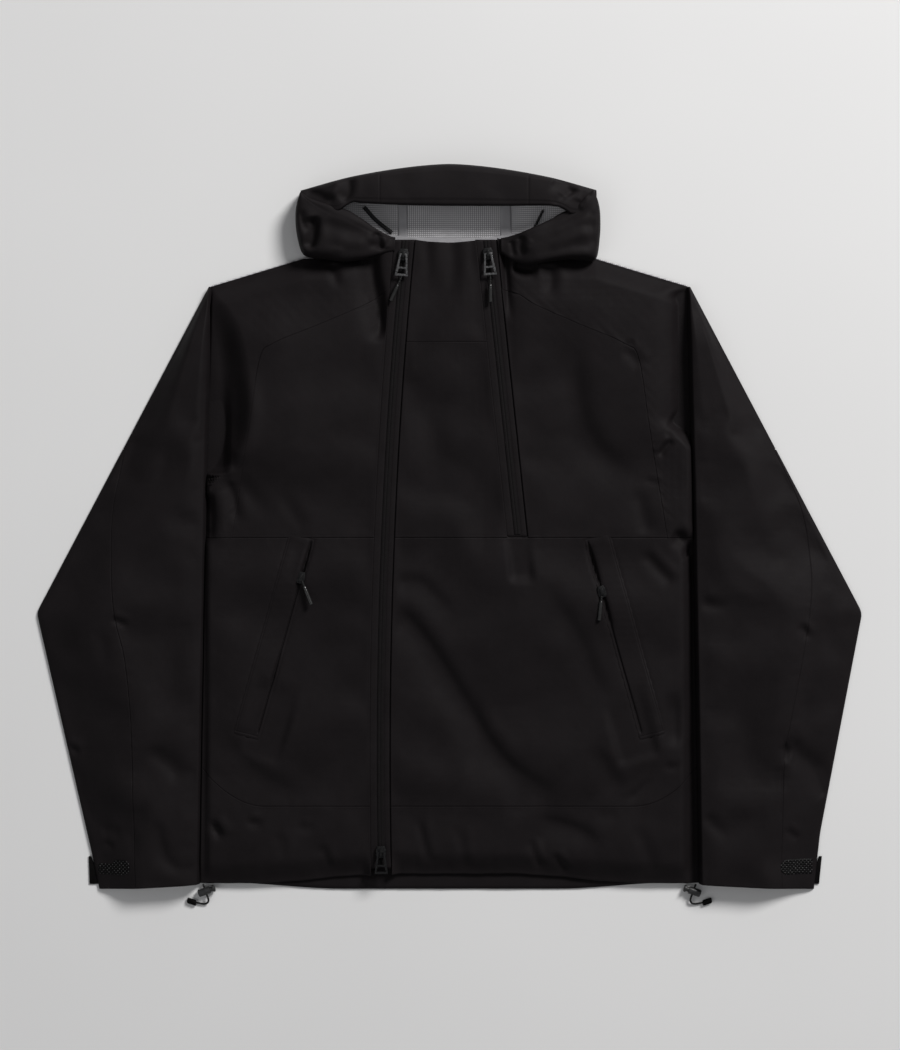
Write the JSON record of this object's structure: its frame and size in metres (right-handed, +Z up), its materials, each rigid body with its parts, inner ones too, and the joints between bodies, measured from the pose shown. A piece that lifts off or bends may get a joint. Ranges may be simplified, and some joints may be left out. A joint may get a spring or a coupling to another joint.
{
  "type": "hardshell jacket",
  "caption": "Hooded waterproof shell jacket laid flat on its back, with an off-centre two-way front zip, a second slanted chest zip, zipped hand pockets, cuff tabs and hem drawcord locks.",
  "frame": {"origin": "middle of the flat-laid jacket's plan outline, on the surface it lies on", "axes": "+X to the viewer's right across the chest, +Y from the hem to the hood, +Z up from the floor, out of the jacket's front"},
  "size_m": [0.9216, 0.8271, 0.04],
  "materials": {
    "shell": "matte woven face fabric, black",
    "hood_shell": "matte woven face fabric, black",
    "lining": "bonded grey lining with a fine printed grid",
    "zip": "coated coil zip, black",
    "metal": "satin gunmetal",
    "pull_rubber": "moulded black pull",
    "cord": "braided black cord",
    "hook": "moulded micro hook",
    "lock_plastic": "dark grey moulded plastic",
    "spring_steel": "bright wire"
  },
  "bodies": {
    "jacket": {"back_hem_band": "shell", "back_panel": "shell", "bib_panel": "shell", "chest_panel_left": "shell", "chest_panel_right": "shell", "chest_zip": "zip", "chin_panel": "shell", "elbow_panel_left": "shell", "elbow_panel_right": "shell", "front_hem_left": "shell", "front_hem_right": "shell", "hem_cord_tail_left": "cord", "hem_cord_tail_right": "cord", "hem_cord_tip_left": "pull_rubber", "hem_cord_tip_right": "pull_rubber", "hem_drawcord": "cord", "hook_patch_left": "hook", "hook_patch_right": "hook", "lower_panel_left": "shell", "lower_panel_right": "shell", "main_zip": "zip", "pocket_bag_left": "lining", "pocket_bag_right": "lining", "pocket_welt_left": "shell", "pocket_welt_right": "shell", "pocket_zip_left": "zip", "pocket_zip_right": "zip", "side_collar_left": "hood_shell", "side_collar_right": "hood_shell", "sleeve_back_left": "shell", "sleeve_back_right": "shell", "sleeve_front_left": "shell", "sleeve_front_right": "shell", "yoke_panel_left": "shell", "yoke_panel_right": "shell"},
    "hood": {"hood_back_panel": "lining", "hood_crown": "hood_shell", "hood_side_left": "hood_shell", "hood_side_right": "hood_shell"},
    "main_top_slider": {"main_top_slider": "metal"},
    "main_top_tab": {"main_top_pull_tab": "metal"},
    "main_top_cord": {"main_top_cord_pull": "pull_rubber"},
    "main_bottom_slider": {"main_bottom_slider": "metal"},
    "main_bottom_tab": {"main_bottom_pull_tab": "metal"},
    "chest_slider": {"chest_slider": "metal"},
    "chest_tab": {"chest_pull_tab": "metal"},
    "chest_cord": {"chest_cord_pull": "pull_rubber"},
    "pocket_slider_left": {"pocket_slider_left": "metal"},
    "pocket_pull_left": {"pocket_pull_left": "pull_rubber"},
    "pocket_slider_right": {"pocket_slider_right": "metal"},
    "pocket_pull_right": {"pocket_pull_right": "pull_rubber"},
    "cuff_tab_left": {"cuff_tab_left": "pull_rubber"},
    "cord_lock_left": {"cord_lock_barrel_left": "lock_plastic", "cord_lock_spring_left": "spring_steel"},
    "cord_lock_button_left": {"cord_lock_plunger_left": "lock_plastic"},
    "cuff_tab_right": {"cuff_tab_right": "pull_rubber"},
    "cord_lock_right": {"cord_lock_barrel_right": "lock_plastic", "cord_lock_spring_right": "spring_steel"},
    "cord_lock_button_right": {"cord_lock_plunger_right": "lock_plastic"}
  },
  "joints": [
    {"name": "hood_lift", "type": "hinge", "parent": "jacket", "child": "hood", "pos_m": [0, 0.323, 0.02], "axis": [1, 0, 0], "range_deg": [0, 80]},
    {"name": "main_top_slide", "type": "hinge", "parent": "jacket", "child": "main_top_slider", "pos_m": [5.823, -0.25, 0], "axis": [0, 0, 1], "range_deg": [0, 4.27]},
    {"name": "main_top_tab_lift", "type": "hinge", "parent": "main_top_slider", "child": "main_top_tab", "pos_m": [-0.05112, 0.302, 0.0206], "axis": [-0.9956, 0.0936, 0], "range_deg": [0, 110]},
    {"name": "main_top_cord_swing", "type": "hinge", "parent": "main_top_tab", "child": "main_top_cord", "pos_m": [-0.05352, 0.27651, 0.0206], "axis": [-0.9131, 0.4078, 0], "range_deg": [0, 60]},
    {"name": "main_bottom_slide", "type": "hinge", "parent": "jacket", "child": "main_bottom_slider", "pos_m": [5.823, -0.25, 0], "axis": [0, 0, -1], "range_deg": [0, 1.45]},
    {"name": "main_bottom_tab_lift", "type": "hinge", "parent": "main_bottom_slider", "child": "main_bottom_tab", "pos_m": [-0.07596, -0.361, 0.0206], "axis": [-0.9998, -0.0188, 0], "range_deg": [0, 110]},
    {"name": "chest_slide", "type": "slide", "parent": "jacket", "child": "chest_slider", "axis": [0.1047, -0.9945, 0], "range_m": [0, 0.29]},
    {"name": "chest_tab_lift", "type": "hinge", "parent": "chest_slider", "child": "chest_tab", "pos_m": [0.04274, 0.303, 0.0206], "axis": [-0.9945, -0.1047, 0], "range_deg": [0, 110]},
    {"name": "chest_cord_swing", "type": "hinge", "parent": "chest_tab", "child": "chest_cord", "pos_m": [0.04542, 0.27754, 0.0206], "axis": [-1, 0, 0], "range_deg": [0, 60]},
    {"name": "pocket_slide_left", "type": "slide", "parent": "jacket", "child": "pocket_slider_left", "axis": [-0.2674, -0.9636, 0], "range_m": [0, 0.165]},
    {"name": "pocket_pull_lift_left", "type": "hinge", "parent": "pocket_slider_left", "child": "pocket_pull_left", "pos_m": [-0.16496, -0.05662, 0.0207], "axis": [-0.9287, -0.3709, 0], "range_deg": [0, 110]},
    {"name": "pocket_slide_right", "type": "slide", "parent": "jacket", "child": "pocket_slider_right", "axis": [0.2674, -0.9636, 0], "range_m": [0, 0.15]},
    {"name": "pocket_pull_lift_right", "type": "hinge", "parent": "pocket_slider_right", "child": "pocket_pull_right", "pos_m": [0.16924, -0.07203, 0.0207], "axis": [-0.995, 0.0998, 0], "range_deg": [0, 110]},
    {"name": "cuff_tab_lift_left", "type": "hinge", "parent": "jacket", "child": "cuff_tab_left", "pos_m": [-0.397, -0.3835, 0], "axis": [-0.2072, 0.9783, 0], "range_deg": [0, 90]},
    {"name": "cord_lock_slide_left", "type": "slide", "parent": "jacket", "child": "cord_lock_left", "axis": [0.3335, -0.9428, 0], "range_m": [0, 0.003]},
    {"name": "cord_lock_press_left", "type": "slide", "parent": "cord_lock_left", "child": "cord_lock_button_left", "axis": [-0.9428, -0.3335, 0], "range_m": [0, 0.0025], "stiffness_N_per_m": 500, "springref_m": -0.004, "deforming": ["cord_lock_spring_left"]},
    {"name": "cuff_tab_lift_right", "type": "hinge", "parent": "jacket", "child": "cuff_tab_right", "pos_m": [0.4109, -0.3835, 0], "axis": [-0.1113, -0.9938, 0], "range_deg": [0, 90]},
    {"name": "cord_lock_slide_right", "type": "slide", "parent": "jacket", "child": "cord_lock_right", "axis": [-0.3335, -0.9428, 0], "range_m": [0, 0.003]},
    {"name": "cord_lock_press_right", "type": "slide", "parent": "cord_lock_right", "child": "cord_lock_button_right", "axis": [0.9428, -0.3335, 0], "range_m": [0, 0.0025], "stiffness_N_per_m": 500, "springref_m": -0.004, "deforming": ["cord_lock_spring_right"]}
  ]
}
